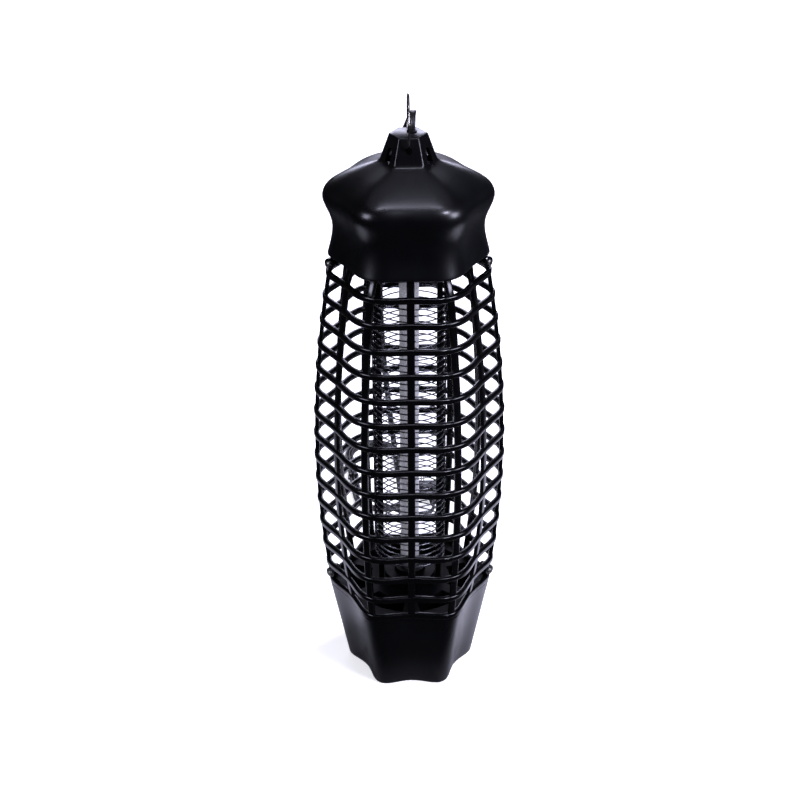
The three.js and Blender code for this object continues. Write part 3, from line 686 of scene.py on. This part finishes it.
# screw ears: each half has a short tube, chamfered outside and dished at its front
ear = dict(
    levels=(("lower", 86.2), ("upper", 373.8)), inset=4.6, turn=40, face=0.2, length=5.0, sides=32,
    rows=[(2.1, 0), (4.2, 0), (4.6, 0.4), (4.6, 4.5), (4.1, 5), (3.2, 5), (3.0, 4.7), (2.1, 4.7), (2.1, 0)],
)


# the axis of an ear, hand -1 at the left and 1 at the right, running to the front
def earPlace(hand, z):
    return (Matrix.Translation((hand * (cageBow(z) - ear["inset"]), 0, z))
            @ Matrix.Rotation(math.radians(hand * ear["turn"]), 4, "Z") @ Matrix.Rotation(math.pi / 2, 4, "X"))


def earTube(place, side):
    start = ear["face"] if side < 0 else -ear["face"] - ear["length"]
    return turnProfile("ear", [(r, start + z) for r, z in ear["rows"]], ear["sides"], place)


for side, name in ((-1, "front"), (1, "rear")):
    mid = cage["wall"] / 2
    deep = mid + cage["ribInset"]
    ribThick = cage["wall"] - 2 * cage["ribInset"]
    heights = [cage["foot"] + cage["ring"] / 2] + [ringHeight(k) for k in range(1, cage["rings"])]
    facings = [f for f in range(30, 360, 30) if f != 180 and math.sin(math.radians(f)) * side > 0]
    lattice = [
        sweep("rings", [halfRing(z, mid, side) for z in heights], [(0, 0, 1)] * len(heights),
              barOutline(cage["ring"], cage["wall"], cage["ringCorner"]), "glossAbs"),
        sweep("top_band", [halfRing(cage["bandZ"], mid, side)], [(0, 0, 1)],
              barOutline(cage["band"], cage["wall"], cage["bandCorner"]), "glossAbs"),
        sweep("ribs", [ribPath(f, deep) for f in facings],
              [(-math.sin(math.radians(f)), math.cos(math.radians(f)), 0) for f in facings],
              barOutline(cage["rib"], ribThick, cage["ribCorner"]), "glossAbs"),
        sweep("seams", [ribPath(f, deep, side) for f in (0, 180)], [(0, 1, 0)] * 2,
              barOutline(cage["rib"] / 2, ribThick, cage["seamCorner"]), "glossAbs"),
    ]
    lattice += [earTube(earPlace(hand, z), side) for level, z in ear["levels"] for hand in (-1, 1)]
    half = joinObjects("cage_lattice_" + name, lattice)
    finishPiece(half, "housing", "glossAbs", ["cage_" + name], 40)
print("cage made")

# cage screws: domed heads with a tapered cross recess, on shafts through both halves
screw = dict(
    rows=[(0, -4.2), (1.5, -4.2), (1.5, 5), (2.6, 5), (2.6, 5.5), (2.4, 6.2), (1.8, 6.7), (0.9, 6.95), (0, 7)],
    sides=28, crossTurn=20, crossEnds=((1.6, 0.32, 5.9), (1.9, 0.4, 8)),
)


def crossBlade(place, turn):
    spin = place @ Matrix.Rotation(math.radians(turn + screw["crossTurn"]), 4, "Z")
    return skinLoops("blade", [[spin @ Vector((sx * half, sy * thin, z)) for sx, sy in
                                ((-1, -1), (1, -1), (1, 1), (-1, 1))] for half, thin, z in screw["crossEnds"]])


for level, z in ear["levels"]:
    for hand, name in ((-1, "left"), (1, "right")):
        place = earPlace(hand, z)
        head = turnProfile("housing_screw_" + level + "_" + name, screw["rows"], screw["sides"], place)
        cutAway(head, crossBlade(place, 0), crossBlade(place, 90))
        finishPiece(head, "housing", "zincPlate", ["cage_screw_" + level + "_" + name])
print("screws made")

# cap: hood with waist, crown, roof and the hanging boss; rows of (height, radius, corner, hollow)

cap = dict(
    outside=[
        (382.1, 61.6, 23.6, 0.9), (382.8, 62, 24, 0.9), (387, 60.9, 24, 0.9), (393, 59.4, 24, 0.9),
        (399, 58.3, 24, 0.9), (404.3, 57.9, 24, 0.9), (410, 58.5, 24, 0.9), (415, 60, 24, 0.9),
        (420, 62.1, 24, 0.9), (424, 63.8, 24, 0.9), (427.8, 64.8, 24, 0.9), (431.3, 64.6, 24, 0.9),
        (434.5, 63.4, 23, 0.9), (437.3, 61.3, 22, 0.9), (440.2, 57.6, 21, 0.9), (444, 51.2, 18, 0.8),
        (448.5, 42, 14, 0.7), (452, 33, 10, 0.5), (454.4, 26.2, 6.5, 0.3),
    ],
    boss=[
        (455.2, 24, 5, 0.2), (456, 22.4, 3.6, 0), (457.2, 21.2, 2.4, 0), (460, 20.2, 1.8, 0), (466, 18.1, 1.5, 0),
        (472, 15.9, 1.4, 0), (475.7, 14.6, 1.4, 0), (476.4, 14.2, 1.4, 0), (476.7, 13.6, 1.2, 0),
    ],
    inside=[
        (474.7, 12.1, 1, 0), (466, 15.1, 1, 0), (456, 18.4, 1.2, 0), (449.5, 34, 11, 0.9), (441, 51, 18, 0.9),
        (436, 59.4, 21, 0.9), (431, 62, 22, 0.9), (426, 61.9, 22, 0.9), (419, 59.2, 22, 0.9),
        (404.3, 55.6, 22, 0.9), (392, 57.3, 22, 0.9), (382.4, 59.7, 22, 0.9), (381.7, 60, 22.3, 0.9),
        (381.5, 60.5, 22.6, 0.9), (381.5, 61.1, 23.2, 0.9),
    ],
    archHalf=3.1, archFoot=456.6, archSpring=464.6, archDepth=(8, 26), archFacings=(30, 150, 210, 330),
    slotAt=(2.6, 2.2), slotSize=(7.4, 10.6), slotCorner=3.2, slotDepth=(471, 479),
    pivotZ=467.6, pivotRadius=2.5, pivotReach=30,
)


def archTool(facing):
    half = cap["archHalf"]
    outline = [(-half, cap["archFoot"]), (half, cap["archFoot"])]
    for degrees in range(0, 181, 15):
        angle = math.radians(degrees)
        outline.append((half * math.cos(angle), cap["archSpring"] + half * math.sin(angle)))
    turn = Matrix.Rotation(math.radians(facing), 4, "Z")
    return skinLoops("arch", [[turn @ Vector((x, y, z)) for y, z in outline] for x in cap["archDepth"]])


def slotTool():
    x, y = cap["slotAt"]
    outline = barOutline(*cap["slotSize"], cap["slotCorner"], 6)
    return skinLoops("slot", [[(x + u, y + v, z) for u, v in outline] for z in cap["slotDepth"]])


def pivotTool():
    radius, reach = cap["pivotRadius"], cap["pivotReach"]
    across = Matrix.Translation((0, 0, cap["pivotZ"])) @ Matrix.Rotation(math.pi / 2, 4, "X")
    return turnProfile("pivot", [(0, -reach), (radius, -reach), (radius, reach), (0, reach)], 24, across)


capRows = cap["inside"] + denseRows(cap["outside"], 3) + denseRows(cap["boss"], 2)
hood = skinLoops("hood", [hexLoop(*row) for row in capRows])
cutAway(hood, slotTool(), pivotTool(), *[archTool(f) for f in cap["archFacings"]])
finishPiece(hood, "housing", "satinAbs", ["cap_shell"], 38)
print("cap made")

# hanging ring: drawn wire, open at the foot where its ends stand in the boss
hoop = dict(radius=21.73, wire=1.6, centre=484.0, gap=31, steps=96)
hoopPath = []
for i in range(hoop["steps"] + 1):
    angle = math.radians(hoop["gap"] - 90 + (360 - 2 * hoop["gap"]) * i / hoop["steps"])
    hoopPath.append((0, hoop["radius"] * math.cos(angle), hoop["centre"] + hoop["radius"] * math.sin(angle)))
hangingWire = sweep("hanging_wire", [hoopPath], [(1, 0, 0)], roundOutline(hoop["wire"] / 2, 16), "nickelWire")
finishPiece(hangingWire, "ring", "nickelWire", ["hanging_ring"], 60)

# killing grid: two left-handed wires and the posts they are wound on
grid = dict(radius=29, wire=1.2, bottom=106, lead=10.8, turns=22.375, perTurn=48)
for start, name in ((0, "a"), (1, "b")):
    helix = []
    for i in range(int(grid["turns"] * grid["perTurn"]) + 1):
        angle = math.pi * start - 2 * math.pi * i / grid["perTurn"]
        helix.append((grid["radius"] * math.cos(angle), grid["radius"] * math.sin(angle),
                      grid["bottom"] + grid["lead"] * i / grid["perTurn"]))
    wire = sweep("winding_" + name, [helix], [(0, 0, 1)], roundOutline(grid["wire"] / 2, 8), "gridWire")
    finishPiece(wire, "housing", "gridWire", ["grid_wire_" + name], 60)


# notched edge: a small tooth under and over each turn of wire
def buildTeethTree():
    tree, given = startTree("postTeeth", Geometry="Geometry", Count="Int", Foot="Vector", Step="Vector",
                            Tooth="Object", Material="Material")
    line = addNode(tree, "GeometryNodeMeshLine", links={
        "Count": given.outputs["Count"], "Start Location": given.outputs["Foot"], "Offset": given.outputs["Step"]})
    tooth = addNode(tree, "GeometryNodeObjectInfo", links={"Object": given.outputs["Tooth"]})
    copies = addNode(tree, "GeometryNodeInstanceOnPoints",
                     links={"Points": line.outputs["Mesh"], "Instance": tooth.outputs["Geometry"]})
    both = addNode(tree, "GeometryNodeJoinGeometry")
    for source in (copies.outputs["Instances"], given.outputs["Geometry"]):
        tree.links.new(source, both.inputs["Geometry"])
    return endTree(tree, given, both.outputs["Geometry"])


teethTree = buildTeethTree()
post = dict(
    inner=21.9, outer=26.4, width=3.4, corner=0.5, foot=79.1, top=386.0,
    teeth=46, toothWide=3.0, toothTall=3.2, toothRows=((-0.3, 1), (2.31, 1), (3.3, 0.8)),
)


def toothShape(hand):
    wide, tall = post["toothWide"] / 2, post["toothTall"] / 2
    corners = ((-wide, -tall), (wide, -tall), (wide, tall), (-wide, tall))
    return skinLoops("tooth", [[(hand * (post["outer"] + reach), y * scale, z) for y, z in corners]
                               for reach, scale in post["toothRows"]])


for hand, name in ((-1, "left"), (1, "right")):
    middle = hand * (post["inner"] + post["outer"]) / 2
    bar = sweep("comb_" + name, [[(middle, 0, z) for z in (post["foot"], post["top"])]], [(1, 0, 0)],
                barOutline(post["outer"] - post["inner"], post["width"], post["corner"], 2), "chassisAbs")
    tooth = toothShape(hand)
    pitch = grid["lead"] / 2
    runTree(bar, teethTree, {"Count": post["teeth"], "Foot": (0, 0, (grid["bottom"] - pitch / 2) * mm),
                             "Step": (0, 0, pitch * mm), "Tooth": tooth, "Material": materials["chassisAbs"]})
    discard(tooth)
    finishPiece(bar, "housing", "chassisAbs", ["grid_post_" + name], 30)
print("ring and grid made")

# lamp: a straight tube, drawn in at both ends where its caps are cemented on
tube = dict(sides=64, rows=[(0, 95.3), (6.8, 95.3), (7.6, 96.2), (7.8, 98), (7.8, 230), (7.8, 362), (7.6, 363.8),
                            (6.8, 364.7), (0, 364.7)])
lampTube = turnProfile("lamp_glass", tube["rows"], tube["sides"])
finishPiece(lampTube, "lamp", "phosphorGlass", ["lamp_tube"], 50)

# the pieces inside keep their own shapes and take real finishes
finishes = {
    "chassisAbs": ["bottom_chassis", "top_chassis", "lampholder_lower", "lampholder_upper"],
    "lampCap": ["lamp_cap_lower", "lamp_cap_upper"],
    "softPvc": ["lamp_lead_left", "lamp_lead_right", "inner_lead", "cord_grommet"],
    "zincPlate": ["chassis_screw_1", "chassis_screw_2", "chassis_screw_3", "chassis_screw_4"],
    "laminate": ["circuit_board"],
    "epoxyDip": ["capacitor_1", "capacitor_2", "capacitor_3"],
    "laminations": ["choke_core"],
    "copperWinding": ["choke_winding"],
    "nylon": ["terminal_block"],
}
for look, names in finishes.items():
    for name in names:
        nodes[name].data.materials.clear()
        nodes[name].data.materials.append(materials[look])
print("inner pieces finished")


# floor and light

# in reflections the floor's colour holds a painted pool of light near the object and painted shade elsewhere
floorLook = dict(paper=0.96, reflectedShade=0.02, open=0.95, shadeEdge=(-0.07, 0.04), pool=(0.28, 0.55),
                 fibreScale=40.0, fibreShade=0.98, glow=0.6, sockets={"Roughness": 0.9, "Specular IOR Level": 0.1})


# white seen directly; in reflections a painted pool of light near the object and painted shade in front of it and
# far from it, as black flags would give
def floorMaterial(look):
    material, tree, shader, coords = startMaterial("mattPaper")
    noise = addNode(tree, "ShaderNodeTexNoise", {"Scale": look["fibreScale"]}, {"Vector": coords})
    direct = addNode(tree, "ShaderNodeLightPath").outputs["Is Camera Ray"]
    depth = addNode(tree, "ShaderNodeSeparateXYZ", links={"Vector": coords}).outputs["Y"]
    reach = addNode(tree, "ShaderNodeVectorMath", links={"Vector": coords}, operation="LENGTH").outputs["Value"]
    # painted pool of light round the object, seen only in reflections
    near, far = look["pool"]
    pool = addNode(tree, "ShaderNodeMapRange",
                   {"From Min": near, "From Max": far, "To Min": look["open"], "To Max": look["reflectedShade"]},
                   {"Value": reach})
    # painted shade over the floor in front of the object, seen only in reflections
    front, back = look["shadeEdge"]
    frontShade = addNode(tree, "ShaderNodeMapRange", {"From Min": front, "From Max": back, "To Min": look["reflectedShade"]},
                   {"Value": depth, "To Max": pool.outputs["Result"]})
    shade = addNode(tree, "ShaderNodeMapRange", {"To Max": look["paper"]},
                    {"Value": direct, "To Min": frontShade.outputs["Result"]})
    fibre = addNode(tree, "ShaderNodeMapRange", {"To Min": look["fibreShade"], "To Max": 1.0},
                    {"Value": noise.outputs["Fac"]})
    tint = addNode(tree, "ShaderNodeMath", links={0: shade.outputs["Result"], 1: fibre.outputs["Result"]},
                   operation="MULTIPLY")
    tree.links.new(tint.outputs[0], shader.inputs["Base Color"])
    glow = addNode(tree, "ShaderNodeMath", {1: look["glow"]}, {0: direct}, operation="MULTIPLY")
    tree.links.new(glow.outputs[0], shader.inputs["Emission Strength"])
    shader.inputs["Emission Color"].default_value = hexLinear("#ffffff")
    setSockets(shader, look["sockets"])
    return material


floorShape = dict(left=-5000, right=5000, near=-3000, far=7000, drop=0.2)
corners = [(floorShape[x], floorShape[y], 0) for x, y in
           (("left", "near"), ("right", "near"), ("right", "far"), ("left", "far"))]
floor = meshObject("floor", corners, [(0, 1, 2, 3)])
floor.location.z = -floorShape["drop"] * mm
floor.data.materials.append(floorMaterial(floorLook))

bpy.context.scene.view_settings.view_transform = "Standard"
lamps = {
    "leftBox": dict(place=(-1.4, -0.9, 1.0), target=(0, 0, 0.35), size=(0.6, 0.7), power=12),
    "rightBox": dict(place=(1.4, -0.8, 1.0), target=(0, 0, 0.35), size=(0.6, 0.7), power=21),
    "keyBox": dict(place=(0.9, -1.1, 1.9), target=(0, 0, 0.4), size=(0.35, 0.3), power=24),
    "ridgeBox": dict(place=(0, -0.5, 3.3), target=(0, 0.2, 0), size=(1.5, 0.42), power=19),
    "ceilingBox": dict(place=(0, 0.9, 3.3), target=(0, 0.7, 0), size=(3.2, 2.0), power=6),
    "backBox": dict(place=(0, 4.2, 1.5), target=(0, 1.9, 0), size=(2.6, 1.2), power=75),
    "spillBox": dict(place=(1.1, 0.9, 0.9), target=(0.25, 0.12, 0), size=(0.4, 0.4), power=38, seen=False),
}
lampTint = "#e5e5ff"
for name, spec in lamps.items():
    light = bpy.data.objects.new(name, bpy.data.lights.new(name, "AREA"))
    light.data.shape = "RECTANGLE"
    light.data.size, light.data.size_y = spec["size"]
    light.data.energy = spec["power"]
    light.visible_glossy = spec.get("seen", True)
    light.data.color = hexLinear(lampTint)[:3]
    aim = Vector(spec["target"]) - Vector(spec["place"])
    light.matrix_world = Matrix.Translation(spec["place"]) @ aim.to_track_quat("-Z", "Y").to_matrix().to_4x4()
    bpy.context.scene.collection.objects.link(light)

surround = dict(colour="#f4f4f8", fill=0.025, seen=1.1)
world = bpy.data.worlds.new("studio")
bpy.context.scene.world = world
world.use_nodes = True
backdrop = world.node_tree.nodes["Background"]
backdrop.inputs["Color"].default_value = hexLinear(surround["colour"])
direct = addNode(world.node_tree, "ShaderNodeLightPath").outputs["Is Camera Ray"]
strength = addNode(world.node_tree, "ShaderNodeMapRange", {"To Min": surround["fill"], "To Max": surround["seen"]},
                   {"Value": direct})
world.node_tree.links.new(strength.outputs["Result"], backdrop.inputs["Strength"])
print("studio ready")
